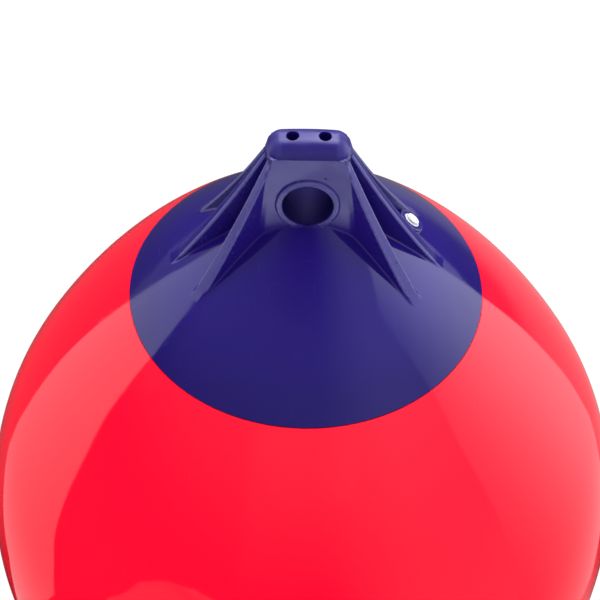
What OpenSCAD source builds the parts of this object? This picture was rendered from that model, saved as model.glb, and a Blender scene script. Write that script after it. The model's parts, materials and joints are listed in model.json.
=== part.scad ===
// Inflatable mooring buoy: a blown vinyl envelope closed by a ribbed rope-hold end with an air valve.
// The origin is on the buoy's axis at the water's surface, with the rope hold up. Lengths are in mm.

/* [Envelope] */
// Diameter of the inflated body at its equator
body_d = 432; // [380:1:480]
// Latitude at which the round body runs into the longer shoulder arc, in degrees
shoulder_latitude = 26.3; // [18:0.1:34]
// Radius of the shoulder arc that carries the body up to the rope hold
shoulder_r = 486; // [420:1:560]
// Thickness of the vinyl wall
envelope_wall = 3.4; // [2.4:0.1:5]
// Depth of the body below the water's surface
draft = 67; // [40:1:110]

/* [End cap] */
// Radius of the edge where the end cap's colour stops
cap_edge_r = 113; // [100:1:130]
// Thickness of the end cap's wall
cap_wall = 6; // [5:0.1:9]
// Height of the half-lap seam between end cap and envelope
seam_lap = 12; // [6:1:20]

/* [Head] */
// Width of the head bar, across the eye
head_w = 51; // [46:0.5:58]
// Thickness of the head bar, along the eye
head_t = 23.4; // [23.2:0.2:26]
// Height of the head bar
head_h = 11.2; // [10.8:0.2:16]
// Rise of the head's top face above the point of the dome
head_rise = 49.6; // [47:0.2:58]
// Radius of the head's two upper corners
head_corner_r = 10; // [5:0.5:10.5]
// Radius of the head's long upper edges
head_edge_r = 10; // [4:0.5:10.5]
// Radius of the head's four upright edges
head_plan_r = 7; // [4:0.5:9]

/* [Neck] */
// Width of the neck where it meets the head bar
neck_w = 46.6; // [42:0.2:50]
// Thickness of the neck where it meets the head bar
neck_t = 23; // [20:0.2:23.2]
// Draft of the neck's two flanks, in degrees
neck_flank_draft = 7.5; // [4:0.5:11]
// Lean of the neck's front and back plates, in degrees
neck_plate_lean = 4; // [2:0.5:8]

/* [Rope eye] */
// Diameter of the bore that takes the rope
eye_d = 30.4; // [24:0.2:33]
// Diameter of the rim round the eye's mouth
eye_rim_d = 38.8; // [36:0.2:42]
// Height of the rim above the plate
eye_rim_h = 1.8; // [1.2:0.1:3]
// Radius that breaks the outer edge of the rim
eye_rim_edge_r = 1.1; // [0.5:0.1:1.2]
// Rise of the eye's axis above the point of the dome
eye_rise = 5; // [4.8:0.2:9]

/* [Ribs] */
// Distance from the axis to the upright line in which a flank's three ribs would meet
rib_hub = 10; // [6:0.5:12]
// Angle from one rib to the next, in degrees
rib_spread = 33; // [30:0.5:36]
// Thickness of a rib at the head
rib_top_t = 5; // [4:0.1:6]
// Thickness of a rib at its foot
rib_foot_t = 9.4; // [6.5:0.1:11]
// Distance of a rib's crest from that line beside the head
rib_top_r = 17; // [15.5:0.1:17.5]
// Rise of that point above the point of the dome
rib_top_rise = 35; // [30:0.5:37]
// Distance from the axis at which the middle rib's crest runs out on the dome
mid_foot_r = 84; // [78:0.5:92]
// Distance from the axis at which the two outer ribs' crests run out on the dome
outer_foot_r = 79; // [74:0.5:86]
// Radius along both edges of a rib's crest
rib_edge_r = 1.3; // [0.6:0.1:1.6]

/* [Core holes] */
// Diameter of the two blind holes in the head's top
core_hole_d = 8; // [5:0.5:10]
// Distance between the two holes
core_hole_pitch = 19.6; // [16:0.2:22]
// Depth of the holes
core_hole_depth = 17; // [8:0.5:20]

/* [Air valve] */
// Bearing of the valve from the flank's middle rib, in degrees
valve_bearing = 18.5; // [17:0.5:19]
// Distance of the valve from the axis
valve_r = 69; // [68:0.5:90]
// Diameter of the raised boss round the valve
boss_d = 18; // [16:0.5:20]
// Height of the boss above the dome
boss_h = 1.8; // [1.4:0.1:3]
// Diameter of the valve's flange
flange_d = 11; // [10.4:0.1:13]
// Thickness of the flange
flange_t = 1.2; // [0.8:0.1:1.4]
// Diameter of the valve's barrel
barrel_d = 8.6; // [8:0.1:9.4]
// Length of the barrel below its flange
barrel_length = 12; // [10:0.5:16]
// Diameter of the air bore through the valve
air_bore_d = 5.4; // [4.6:0.1:6]
// Diameter of the plug's head
plug_head_d = 8.6; // [7.8:0.1:9]
// Thickness of the plug's head
plug_head_t = 1.6; // [1.2:0.1:2.4]
// Length of the plug's shank
plug_shank_length = 9; // [6:0.5:9.5]
// Diameter of the two spanner holes in the plug's head
spanner_hole_d = 1.4; // [1:0.1:1.6]
// Distance between the two spanner holes
spanner_hole_pitch = 6; // [5:0.1:6.2]
// Depth of the spanner holes
spanner_hole_depth = 1.2; // [0.8:0.1:2]
// Gap round the flange in its seat
flange_gap = 0.2; // [0.1:0.05:0.4]
// Gap round the plug's shank in the air bore
plug_gap = 0.05; // [0.02:0.01:0.1]

/* [Hidden] */
$fn = 96;

body_r = body_d / 2;
centre_z = body_r - draft;
reach = 2 * body_d;

// The shoulder arc's centre lies beyond the axis, so that the arc leaves the round body without a corner.
shoulder_gap = shoulder_r - body_r;
shoulder_centre = [-shoulder_gap * cos(shoulder_latitude), -shoulder_gap * sin(shoulder_latitude)];

// Height of the dome above the body's centre, and its tilt from level, at a distance from the axis.
function dome_z(r) = shoulder_centre[1] + sqrt(shoulder_r ^ 2 - (r - shoulder_centre[0]) ^ 2);
function dome_tilt(r) = asin((r - shoulder_centre[0]) / shoulder_r);

apex_z = dome_z(0);
seam_z = dome_z(cap_edge_r);
head_z = apex_z + head_rise;
neck_z = head_z - head_h;
eye_z = apex_z + eye_rise;

// From the hub's line to a distance from the axis, along a rib at an angle to the flank's middle.
function from_hub(r, angle) = sqrt(r ^ 2 - (rib_hub * sin(angle)) ^ 2) - rib_hub * cos(angle);

rib_top_z = apex_z + rib_top_rise;
// A rib reaches back from its crest to the hub's line, so that its root is inside neck or dome.
rib_root = rib_top_r + rib_top_rise;
neck_foot_z = apex_z - rib_root;
root_depth = cap_wall / 2;
eye_rim_root = 4;

// Half of the body's section, inset from the outer surface.
module half_section(inset) {
    r = body_r - inset;
    tangent_z = r * sin(shoulder_latitude);
    intersection() {
        circle(r);
        translate([0, -r]) square([r, 2 * r]);
    }
    intersection() {
        translate(shoulder_centre) circle(shoulder_r - inset);
        translate([0, tangent_z]) square([r, reach]);
    }
}

// Everything in the section's plane above a height.
module above(z) {
    translate([0, z]) square([reach, reach]);
}

// Everything in the section's plane below a height.
module below(z) {
    translate([0, z - reach]) square([reach, reach]);
}

// Places its children, drawn about the body's centre, above the water.
module afloat() {
    translate([0, 0, centre_z]) children();
}

// The outer half of the wall stops at the colour's edge, and the inner half runs on under the end cap.
module envelope() {
    color([0.93, 0.06, 0.15]) afloat() rotate_extrude() difference() {
        half_section(0);
        half_section(envelope_wall);
        above(seam_z + seam_lap);
        difference() {
            above(seam_z);
            half_section(envelope_wall / 2);
        }
    }
}

module cap_shell() {
    rotate_extrude() difference() {
        half_section(0);
        half_section(cap_wall);
        below(seam_z);
        intersection() {
            half_section(envelope_wall / 2);
            below(seam_z + seam_lap);
        }
    }
}

// Upright wedge through the body, w wide at the neck's top and wider below by its draft on each side.
module wedge(w, slope, depth) {
    spread = (neck_z - neck_foot_z) * tan(slope);
    rotate([90, 0, 0]) linear_extrude(depth, center = true) polygon([
        [-w / 2, neck_z], [w / 2, neck_z], [w / 2 + spread, neck_foot_z], [-w / 2 - spread, neck_foot_z]
    ]);
}

module neck() {
    intersection() {
        wedge(neck_w, neck_flank_draft, reach);
        rotate([0, 0, 90]) wedge(neck_t, neck_plate_lean, reach);
    }
}

// Rectangle that stands on the origin with its two upper corners rounded.
module arched(w, h, r) {
    translate([-w / 2, 0]) square([w, h - r]);
    translate([-w / 2 + r, 0]) square([w - 2 * r, h]);
    for (side = [-1, 1]) translate([side * (w / 2 - r), h - r]) circle(r);
}

// Rectangle about the origin with its four corners rounded.
module rounded(w, t, r) {
    square([w, t - 2 * r], center = true);
    square([w - 2 * r, t], center = true);
    for (x = [-1, 1]) for (y = [-1, 1]) translate([x * (w / 2 - r), y * (t / 2 - r)]) circle(r);
}

module head() {
    translate([0, 0, neck_z]) intersection() {
        rotate([90, 0, 0]) linear_extrude(reach, center = true) arched(head_w, head_h, head_corner_r);
        rotate([90, 0, 90]) linear_extrude(reach, center = true) arched(head_t, head_h, head_edge_r);
        linear_extrude(reach, center = true) rounded(head_w, head_t, head_plan_r);
    }
}

module along_eye() {
    translate([0, 0, eye_z]) rotate([90, 0, 0]) children();
}

// Raised ring on both plates, with its outer edge rounded.
module eye_rim() {
    r = eye_rim_d / 2;
    plate_y = neck_t / 2 + (neck_z - eye_z) * tan(neck_plate_lean);
    for (side = [0, 180]) rotate([0, 0, side]) translate([0, -plate_y, eye_z]) rotate([90 - neck_plate_lean, 0, 0])
        rotate_extrude() {
            translate([0, -eye_rim_root]) square([r - eye_rim_edge_r, eye_rim_root + eye_rim_h]);
            translate([0, -eye_rim_root]) square([r, eye_rim_root + eye_rim_h - eye_rim_edge_r]);
            translate([r - eye_rim_edge_r, eye_rim_h - eye_rim_edge_r]) circle(eye_rim_edge_r);
        }
}

// Wall all round the eye, which also closes it against the air below.
module eye_wall() {
    intersection() {
        along_eye() cylinder(d = eye_rim_d, h = reach, center = true);
        rotate([0, 0, 90]) wedge(neck_t, neck_plate_lean, reach);
    }
}

module eye_cut() {
    along_eye() cylinder(d = eye_d, h = reach, center = true);
}

// One half of a rib: a slab whose crest lies on x = 0 and whose round-edged side lies on y = 0.
module rib_side(length, top_run) {
    run = 2 * rib_root;
    translate([0, 0, -length - rib_root]) linear_extrude(length + rib_root + top_run) {
        translate([-rib_root, -run]) square([rib_root - rib_edge_r, run]);
        translate([-rib_root, -run]) square([rib_root, run - rib_edge_r]);
        translate([-rib_edge_r, -rib_edge_r]) circle(rib_edge_r);
    }
}

// A rib stands upright from the hub's line, with its foot given as [distance from that line, height],
// and grows thicker from the head to its foot.
module rib(foot) {
    fall = [foot[0] - rib_top_r, rib_top_z - foot[1]];
    slope = atan2(fall[0], fall[1]);
    taper = atan((rib_foot_t - rib_top_t) / 2 / norm(fall));
    top_run = (neck_z + head_h / 2 - rib_top_z) / cos(slope);
    translate([rib_top_r, 0, rib_top_z]) rotate([0, -slope, 0]) intersection_for(side = [0, 1])
        mirror([0, side, 0]) translate([0, rib_top_t / 2, 0]) rotate([taper, 0, 0]) rib_side(norm(fall), top_run);
}

module ribs() {
    for (flank = [0, 180]) rotate([0, 0, flank]) translate([rib_hub, 0, 0]) {
        rib([mid_foot_r - rib_hub, dome_z(mid_foot_r)]);
        for (angle = [-rib_spread, rib_spread]) rotate([0, 0, angle])
            rib([from_hub(outer_foot_r, rib_spread), dome_z(outer_foot_r)]);
    }
}

module core_holes() {
    for (side = [-1, 1]) translate([side * core_hole_pitch / 2, 0, head_z - core_hole_depth])
        cylinder(d = core_hole_d, h = 2 * core_hole_depth);
}

// Places its children on the dome at the valve, with +Z out of the wall.
module at_valve() {
    rotate([0, 0, valve_bearing]) translate([valve_r, 0, dome_z(valve_r)]) rotate([0, dome_tilt(valve_r), 0]) children();
}

module boss() {
    at_valve() translate([0, 0, -root_depth]) cylinder(d = boss_d, h = root_depth + boss_h);
}

module valve_seat() {
    at_valve() {
        translate([0, 0, boss_h - flange_t]) cylinder(d = flange_d + 2 * flange_gap, h = reach / 8);
        translate([0, 0, -2 * cap_wall]) cylinder(d = barrel_d, h = 4 * cap_wall);
    }
}

// The moulded end: a dome with the neck, head, eye rim, ribs and valve boss grown out of it.
module rope_hold() {
    color([0.19, 0.16, 0.46]) afloat() difference() {
        union() {
            cap_shell();
            difference() {
                union() {
                    neck();
                    head();
                    ribs();
                    boss();
                }
                rotate_extrude() half_section(root_depth);
            }
            eye_rim();
            eye_wall();
        }
        eye_cut();
        core_holes();
        valve_seat();
    }
}

module valve_body() {
    color([0.93, 0.93, 0.9]) afloat() at_valve() translate([0, 0, boss_h - flange_t]) difference() {
        union() {
            cylinder(d = flange_d, h = flange_t);
            translate([0, 0, -barrel_length]) cylinder(d = barrel_d, h = barrel_length + flange_t);
        }
        translate([0, 0, -2 * barrel_length]) cylinder(d = air_bore_d, h = 4 * barrel_length);
    }
}

module valve_plug() {
    color([0.97, 0.97, 0.95]) afloat() at_valve() translate([0, 0, boss_h]) difference() {
        union() {
            cylinder(d = plug_head_d, h = plug_head_t);
            translate([0, 0, -plug_shank_length]) cylinder(d = air_bore_d - 2 * plug_gap, h = plug_shank_length + plug_head_t);
        }
        for (side = [-1, 1]) translate([side * spanner_hole_pitch / 2, 0, plug_head_t - spanner_hole_depth])
            cylinder(d = spanner_hole_d, h = 2 * spanner_hole_depth);
    }
}

envelope();
rope_hold();
valve_body();
valve_plug();
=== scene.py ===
"""Looks of an inflatable mooring buoy: glossy red envelope, ribbed blue rope hold, white air valve, white studio."""

import json
import math

import bpy
import numpy as np
from bpy.props import FloatProperty, FloatVectorProperty, IntProperty, PointerProperty
from bpy.types import Operator, Panel, PropertyGroup
from mathutils import Matrix, Vector


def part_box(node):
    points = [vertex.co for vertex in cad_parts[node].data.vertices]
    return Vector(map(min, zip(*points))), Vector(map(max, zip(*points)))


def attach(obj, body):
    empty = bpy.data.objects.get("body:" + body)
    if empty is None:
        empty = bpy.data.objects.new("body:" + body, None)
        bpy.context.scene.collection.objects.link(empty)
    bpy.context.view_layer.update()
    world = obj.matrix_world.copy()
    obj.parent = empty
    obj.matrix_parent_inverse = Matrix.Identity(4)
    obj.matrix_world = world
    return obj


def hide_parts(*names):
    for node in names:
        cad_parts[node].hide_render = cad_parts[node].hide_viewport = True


bl_info = {
    "name": "Mooring Buoy",
    "version": (1, 0, 0),
    "blender": (4, 5, 0),
    "location": "View3D > Sidebar > Buoy",
    "description": "Dresses the packed buoy with its vinyl skin, rope hold, air valve and studio",
    "category": "Object",
}

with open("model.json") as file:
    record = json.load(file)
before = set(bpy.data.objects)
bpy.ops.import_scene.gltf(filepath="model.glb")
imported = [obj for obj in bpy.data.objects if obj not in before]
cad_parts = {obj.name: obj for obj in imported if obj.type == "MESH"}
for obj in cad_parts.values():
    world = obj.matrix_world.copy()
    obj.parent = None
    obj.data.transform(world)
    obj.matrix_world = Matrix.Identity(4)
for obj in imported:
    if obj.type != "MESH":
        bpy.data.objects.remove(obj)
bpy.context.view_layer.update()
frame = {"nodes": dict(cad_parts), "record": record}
MOUNTS = {mount["name"]: mount for mount in frame["record"]["mounts"]}
ENVELOPE_LOW, ENVELOPE_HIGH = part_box("envelope")
HOLD_LOW, HOLD_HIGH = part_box("rope_hold")

MM = 0.001
BODY_RADIUS = round((ENVELOPE_HIGH.x - ENVELOPE_LOW.x) / 2, 3)
CENTRE_Z = ENVELOPE_LOW.z + BODY_RADIUS
CAP_EDGE_RADIUS = round((HOLD_HIGH.x - HOLD_LOW.x) / 2, 3)
EYE_CENTRE = Vector(MOUNTS["rope_eye"]["pos_m"])
EYE_RADIUS = MOUNTS["rope_eye"]["dims"]["r_mm"] * MM
# Half the length of the eye's bore, with a little to spare.
BORE_HALF = 22 * MM
# Distance under which two points of a mesh become one.
MERGE_DISTANCE = 0.001 * MM
# Steps round the turned dome and round the cut holes.
DOME_STEPS = 256
HOLE_SIDES = 64
# Corners of the floor, and the heights of the cards that lie over it.
FLOOR_CORNERS = [(-5.5, -5.5), (5.5, -5.5), (5.5, 5.5), (-5.5, 5.5)]
CARD_HEIGHT = 4 * MM
DARK_CARD_HEIGHT = 2 * MM
# Share of pure white in what is seen of the floor.
FLOOR_GLOW = 0.9
# Distance of the side panels from the axis, and the place of the card on the far wall.
PANEL_X = 0.45
WALL_Y = -5.4
# Brightness of the card far out on the floor and of the one on the far wall.
FAR_STRENGTH = 0.4
WALL_STRENGTH = 0.7
# Share of a panel's brightness that is left at the floor, and the height at which it is whole.
FLOOR_SHARE = 0.38
PANEL_RISE = 0.5
# Way along Y on which the right panel fades towards the front, and the share that is left there.
RIGHT_FADE = (-0.27, 0.15)
FADE_SHARE = 0.3
# Point at which the soft lamps are aimed.
LAMP_AIM = Vector((0, 0, 0.25))


class BuoyShape(PropertyGroup):
    """Outline shared by the envelope and the rope hold's dome."""

    body_radius: FloatProperty(
        name="Body radius", description="Radius of the round body", default=BODY_RADIUS, unit="LENGTH")
    shoulder_radius: FloatProperty(
        name="Shoulder radius", description="Radius of the arc above the body", default=0.486, unit="LENGTH")
    shoulder_latitude: FloatProperty(
        name="Shoulder latitude", description="Where the shoulder arc leaves the round body",
        default=math.radians(26.3), subtype="ANGLE")
    cap_edge_radius: FloatProperty(
        name="Cap edge radius", description="Radius of the line between the two colours",
        default=CAP_EDGE_RADIUS, unit="LENGTH")


class EnvelopeLook(PropertyGroup):
    """Sizes and finish of the red envelope."""

    wall: FloatProperty(name="Wall", description="Thickness of the vinyl", default=3.4 * MM, unit="LENGTH")
    groove: FloatProperty(
        name="Groove", description="Width of the fine groove along the colour line", default=0.6 * MM, unit="LENGTH")
    groove_depth: FloatProperty(
        name="Groove depth", description="Depth of that groove", default=1.3 * MM, unit="LENGTH")
    steps: IntProperty(name="Steps", description="Steps of the turned body", default=192)
    colour: FloatVectorProperty(
        name="Colour", description="Red of the envelope", default=(0.96, 0.003, 0.028), subtype="COLOR")
    dust: FloatVectorProperty(
        name="Dust", description="Colour of the fine dust on the skin", default=(0.9, 0.2, 0.2), subtype="COLOR")
    roughness: FloatProperty(name="Roughness", description="Roughness of the clean skin", default=0.05)


class RopeHoldLook(PropertyGroup):
    """Sizes and finish of the blue rope hold."""

    voxel: FloatProperty(name="Voxel", description="Grain of the mesh", default=0.9 * MM, unit="LENGTH")
    passes: IntProperty(name="Passes", description="Rounds of evening out the mesh", default=6)
    head_w: FloatProperty(name="Head width", description="Across the eye", default=51 * MM, unit="LENGTH")
    head_t: FloatProperty(name="Head thickness", description="Along the eye", default=23.4 * MM, unit="LENGTH")
    head_lean: FloatProperty(
        name="Head lean", description="Of the head's front and back", default=math.radians(20), subtype="ANGLE")
    head_h: FloatProperty(name="Head height", description="Of the bar above the neck", default=11.2 * MM, unit="LENGTH")
    head_r: FloatProperty(name="Head rounding", description="Of the head's upper edges", default=10 * MM, unit="LENGTH")
    neck_w: FloatProperty(name="Neck width", description="Where it meets the head", default=46.6 * MM, unit="LENGTH")
    neck_t: FloatProperty(
        name="Neck thickness", description="Where it meets the head", default=24.6 * MM, unit="LENGTH")
    neck_draft: FloatProperty(
        name="Neck draft", description="Of the neck's flanks", default=math.radians(7.5), subtype="ANGLE")
    plate_lean: FloatProperty(
        name="Plate lean", description="Of the plates round the eye", default=math.radians(4), subtype="ANGLE")
    rim_r: FloatProperty(name="Rim radius", description="Of the rim round the eye", default=19.4 * MM, unit="LENGTH")
    rim_h: FloatProperty(name="Rim height", description="Above the plates", default=1.8 * MM, unit="LENGTH")
    rim_edge: FloatProperty(name="Rim edge", description="Rounding of the rim", default=1.1 * MM, unit="LENGTH")
    mouth_r: FloatProperty(name="Mouth", description="Rounding of the bore's mouth", default=1.2 * MM, unit="LENGTH")
    rib_hub: FloatProperty(
        name="Rib hub", description="From the axis to where a flank's ribs would meet", default=10 * MM, unit="LENGTH")
    rib_spread: FloatProperty(
        name="Rib spread", description="From one rib to the next", default=math.radians(33), subtype="ANGLE")
    rib_top_t: FloatProperty(
        name="Rib top", description="Thickness of a rib at the head", default=5 * MM, unit="LENGTH")
    rib_foot_t: FloatProperty(
        name="Rib foot", description="Thickness of a rib at its foot", default=9.4 * MM, unit="LENGTH")
    rib_top_r: FloatProperty(
        name="Rib start", description="From the hub to the crest beside the head", default=17 * MM, unit="LENGTH")
    rib_drop: FloatProperty(
        name="Rib drop", description="From the head's top to that place", default=14.6 * MM, unit="LENGTH")
    mid_foot_r: FloatProperty(
        name="Middle foot", description="Where the middle ribs run out", default=84 * MM, unit="LENGTH")
    outer_foot_r: FloatProperty(
        name="Outer foot", description="Where the outer ribs run out", default=77.5 * MM, unit="LENGTH")
    rib_sag: FloatProperty(name="Rib sag", description="Hollow of a rib's crest", default=2 * MM, unit="LENGTH")
    rib_edge: FloatProperty(
        name="Rib edge", description="Rounding along a rib's crest", default=1.3 * MM, unit="LENGTH")
    crease_r: FloatProperty(name="Crease", description="Rounding of the inner corners", default=1.5 * MM, unit="LENGTH")
    foot_r: FloatProperty(
        name="Foot crease", description="Rounding where ribs meet the dome", default=1.2 * MM, unit="LENGTH")
    base_r: FloatProperty(
        name="Base crease", description="Rounding where plates meet the dome", default=0.8 * MM, unit="LENGTH")
    hole_diameter: FloatProperty(
        name="Hole diameter", description="Blind holes in the head's top", default=8 * MM, unit="LENGTH")
    hole_pitch: FloatProperty(
        name="Hole pitch", description="From one blind hole to the other", default=19.6 * MM, unit="LENGTH")
    hole_depth: FloatProperty(
        name="Hole depth", description="Depth of the blind holes", default=17 * MM, unit="LENGTH")
    colour: FloatVectorProperty(
        name="Colour", description="Blue of the rope hold", default=(0.012, 0.004, 0.128), subtype="COLOR")
    # Dark colour of the small pits, also used as painted shade inside the eye's bore.
    pit_colour: FloatVectorProperty(
        name="Pits", description="Colour of the small pits", default=(0.002, 0.001, 0.012), subtype="COLOR")
    # Painted highlight: pale colour laid on sharp edges in place of glints.
    edge_colour: FloatVectorProperty(
        name="Edge colour", description="Vinyl worn pale on sharp edges", default=(0.085, 0.08, 0.25), subtype="COLOR")
    dome_roughness: FloatProperty(name="Dome roughness", description="Roughness of the dome", default=0.08)
    hold_roughness: FloatProperty(name="Hold roughness", description="Roughness of neck and ribs", default=0.24)


class ValveLook(PropertyGroup):
    """Place and finish of the white air valve."""

    bearing: FloatProperty(
        name="Bearing", description="Angle from the flank's middle rib", default=math.radians(18.5), subtype="ANGLE")
    distance: FloatProperty(name="Distance", description="From the axis", default=69 * MM, unit="LENGTH")
    boss_radius: FloatProperty(name="Boss radius", description="Round the valve", default=9 * MM, unit="LENGTH")
    boss_height: FloatProperty(name="Boss height", description="Above the dome", default=1.8 * MM, unit="LENGTH")
    seat_radius: FloatProperty(name="Seat radius", description="Of the flange's seat", default=5.7 * MM, unit="LENGTH")
    seat_depth: FloatProperty(name="Seat depth", description="Of the flange's seat", default=1.2 * MM, unit="LENGTH")
    barrel_radius: FloatProperty(name="Barrel radius", description="Of the hole", default=4.35 * MM, unit="LENGTH")
    barrel_depth: FloatProperty(name="Barrel depth", description="Of the hole", default=13 * MM, unit="LENGTH")
    edge: FloatProperty(name="Edge", description="Width of the broken edges", default=0.25 * MM, unit="LENGTH")
    colour: FloatVectorProperty(
        name="Colour", description="White of the valve", default=(0.64, 0.64, 0.635), subtype="COLOR")
    grime: FloatVectorProperty(
        name="Grime", description="Colour of specks on the valve", default=(0.3, 0.29, 0.27), subtype="COLOR")
    roughness: FloatProperty(name="Roughness", description="Roughness of the plastic", default=0.3)


class StudioLook(PropertyGroup):
    """Camera, lamps and floor."""

    camera_place: FloatVectorProperty(
        name="Camera", description="Place of the camera", default=(-0.0037, -1.0325, 1.5346), unit="LENGTH")
    camera_aim: FloatVectorProperty(
        name="Aim", description="Point that the camera looks at", default=(-0.0037, 0.0, 0.3505), unit="LENGTH")
    camera_roll: FloatProperty(
        name="Roll", description="Turn of the picture about its centre", default=math.radians(1.0), subtype="ANGLE")
    lens: FloatProperty(name="Lens", description="Focal length in millimetres", default=146.1)
    floor_colour: FloatVectorProperty(
        name="Floor", description="White of the floor", default=(0.92, 0.92, 0.92), subtype="COLOR")
    left_strength: FloatProperty(name="Left panel", description="Brightness of the left panel", default=1.5)
    right_strength: FloatProperty(name="Right panel", description="Brightness of the right panel", default=2.15)
    front_strength: FloatProperty(name="Front card", description="Brightness of the low front card", default=2.2)
    fill_power: FloatProperty(name="Fill", description="Power of the soft lamp above", default=12.0)
    back_power: FloatProperty(name="Back fill", description="Power of the soft lamp behind", default=18.0)
    front_power: FloatProperty(name="Front fill", description="Power of the soft lamp in front", default=15.0)
    back_strength: FloatProperty(name="Back card", description="Brightness of the high card behind", default=6.6)
    side_power: FloatProperty(name="Side fill", description="Power of each soft lamp at the sides", default=12.5)


def shape():
    """Outline settings of the open scene."""
    return bpy.context.scene.buoy_shape


def shoulder_centre():
    """Centre of the shoulder arc in the plane of the axis: distance from the axis, height."""
    s = shape()
    gap = s.shoulder_radius - s.body_radius
    return -gap * math.cos(s.shoulder_latitude), CENTRE_Z - gap * math.sin(s.shoulder_latitude)


def dome_height(radius):
    """Height of the shoulder arc at a distance from the axis."""
    centre_r, centre_z = shoulder_centre()
    return centre_z + math.sqrt(shape().shoulder_radius ** 2 - (radius - centre_r) ** 2)


def arc(centre, radius, start, end, count):
    """Points of an arc in the plane of the axis, from one angle to another."""
    angles = np.linspace(start, end, count)
    return [(centre[0] + radius * math.cos(a), centre[1] + radius * math.sin(a)) for a in angles]


def shoulder_angle(radius):
    """Angle on the shoulder arc at a distance from the axis."""
    return math.acos((radius - shoulder_centre()[0]) / shape().shoulder_radius)


def select_only(obj):
    """Makes one object the only one that operators act on."""
    bpy.ops.object.select_all(action="DESELECT")
    obj.select_set(True)
    bpy.context.view_layer.objects.active = obj


def new_mesh_object(name, points, edges=(), faces=()):
    """Links a new mesh object and makes it the only selected one."""
    mesh = bpy.data.meshes.new(name)
    mesh.from_pydata(points, edges, faces)
    obj = bpy.data.objects.new(name, mesh)
    bpy.context.scene.collection.objects.link(obj)
    select_only(obj)
    return obj


def edit_all():
    """Opens edit mode with everything selected."""
    bpy.ops.object.mode_set(mode="EDIT")
    bpy.ops.mesh.select_all(action="SELECT")


def turned(name, outline, steps):
    """Spins an outline of (distance from the axis, height), whose ends lie on the axis or meet, into a closed body."""
    points = [(r, 0.0, z) for r, z in outline]
    obj = new_mesh_object(name, points, [(i, i + 1) for i in range(len(points) - 1)])
    edit_all()
    bpy.ops.mesh.spin(steps=steps, angle=2 * math.pi, center=(0, 0, 0), axis=(0, 0, 1))
    bpy.ops.mesh.select_all(action="SELECT")
    bpy.ops.mesh.remove_doubles(threshold=MERGE_DISTANCE)
    bpy.ops.mesh.normals_make_consistent(inside=False)
    bpy.ops.object.mode_set(mode="OBJECT")
    bpy.ops.object.shade_smooth_by_angle(angle=math.radians(35))
    return obj


def place(obj, material, slot, *nodes):
    """Gives a finished piece its material, its body and the nodes that it stands for."""
    obj.data.materials.clear()
    obj.data.materials.append(material)
    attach(obj, "root")
    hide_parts(*nodes)


def add_node(tree, kind, links=(), **values):
    """Adds a node, sets its settings, and joins or fills its inputs by name or number."""
    node = tree.nodes.new(kind)
    for name, value in values.items():
        setattr(node, name, value)
    for name, value in dict(links).items():
        if isinstance(value, bpy.types.NodeSocket):
            tree.links.new(value, node.inputs[name])
        else:
            node.inputs[name].default_value = value
    return node


def maths(tree, operation, first, second=0.0):
    """Result of a sum, product or comparison of two values."""
    return add_node(tree, "ShaderNodeMath", {0: first, 1: second}, operation=operation).outputs[0]


def ramp(tree, value, low, high, start=0.0, end=1.0):
    """Spreads the values between two limits over a new range, and holds the rest at its ends."""
    limits = {"Value": value, "From Min": low, "From Max": high, "To Min": start, "To Max": end}
    return add_node(tree, "ShaderNodeMapRange", limits, interpolation_type="SMOOTHSTEP").outputs["Result"]


def blend(tree, share, first, second):
    """Mixes two colours by a mask."""
    node = tree.nodes.new("ShaderNodeMix")
    node.data_type = "RGBA"
    for socket, value in zip((node.inputs[0], node.inputs[6], node.inputs[7]), (share, first, second)):
        if isinstance(value, bpy.types.NodeSocket):
            tree.links.new(value, socket)
        else:
            socket.default_value = value
    return node.outputs[2]


def noise(tree, place_at, scale, detail):
    """Soft noise at a place."""
    return add_node(tree, "ShaderNodeTexNoise", {"Vector": place_at, "Scale": scale, "Detail": detail}).outputs[0]


def shade(colour, factor=1.0, lift=0.0):
    """Darker or paler form of a colour, with full alpha."""
    return (*(factor * channel + lift for channel in colour), 1)


def tinted(tree, tone, mask, share, colour):
    """Blends a share of a colour into a tone where a mask says so."""
    return blend(tree, maths(tree, "MULTIPLY", mask, share), tone, colour)


def roughened(tree, gloss, mask, extra):
    """Adds to a roughness where a mask says so."""
    return maths(tree, "ADD", gloss, maths(tree, "MULTIPLY", mask, extra))


def effect(name, inputs, outputs):
    """Starts a node group with a place and some values going in, and masks or heights coming out."""
    tree = bpy.data.node_groups.new(name, "ShaderNodeTree")
    tree.interface.new_socket("Place", in_out="INPUT", socket_type="NodeSocketVector")
    for label, value in inputs.items():
        socket = tree.interface.new_socket(label, in_out="INPUT", socket_type="NodeSocketFloat")
        socket.default_value = value
    for label in outputs:
        tree.interface.new_socket(label, in_out="OUTPUT", socket_type="NodeSocketFloat")
    return tree, tree.nodes.new("NodeGroupInput").outputs, tree.nodes.new("NodeGroupOutput").inputs


def moulded_grain():
    """Fine unevenness that a mould leaves in vinyl."""
    tree, given, result = effect("moulded_grain", {"Scale": 600.0}, ("Height", "Tone"))
    coarse = noise(tree, given["Place"], given["Scale"], 2.0)
    fine = noise(tree, given["Place"], maths(tree, "MULTIPLY", given["Scale"], 3.7), 1.0)
    broad = maths(tree, "MULTIPLY", coarse, 0.7)
    tree.links.new(maths(tree, "ADD", broad, maths(tree, "MULTIPLY", fine, 0.3)), result["Height"])
    tree.links.new(ramp(tree, coarse, 0.3, 0.7), result["Tone"])
    return tree


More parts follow.
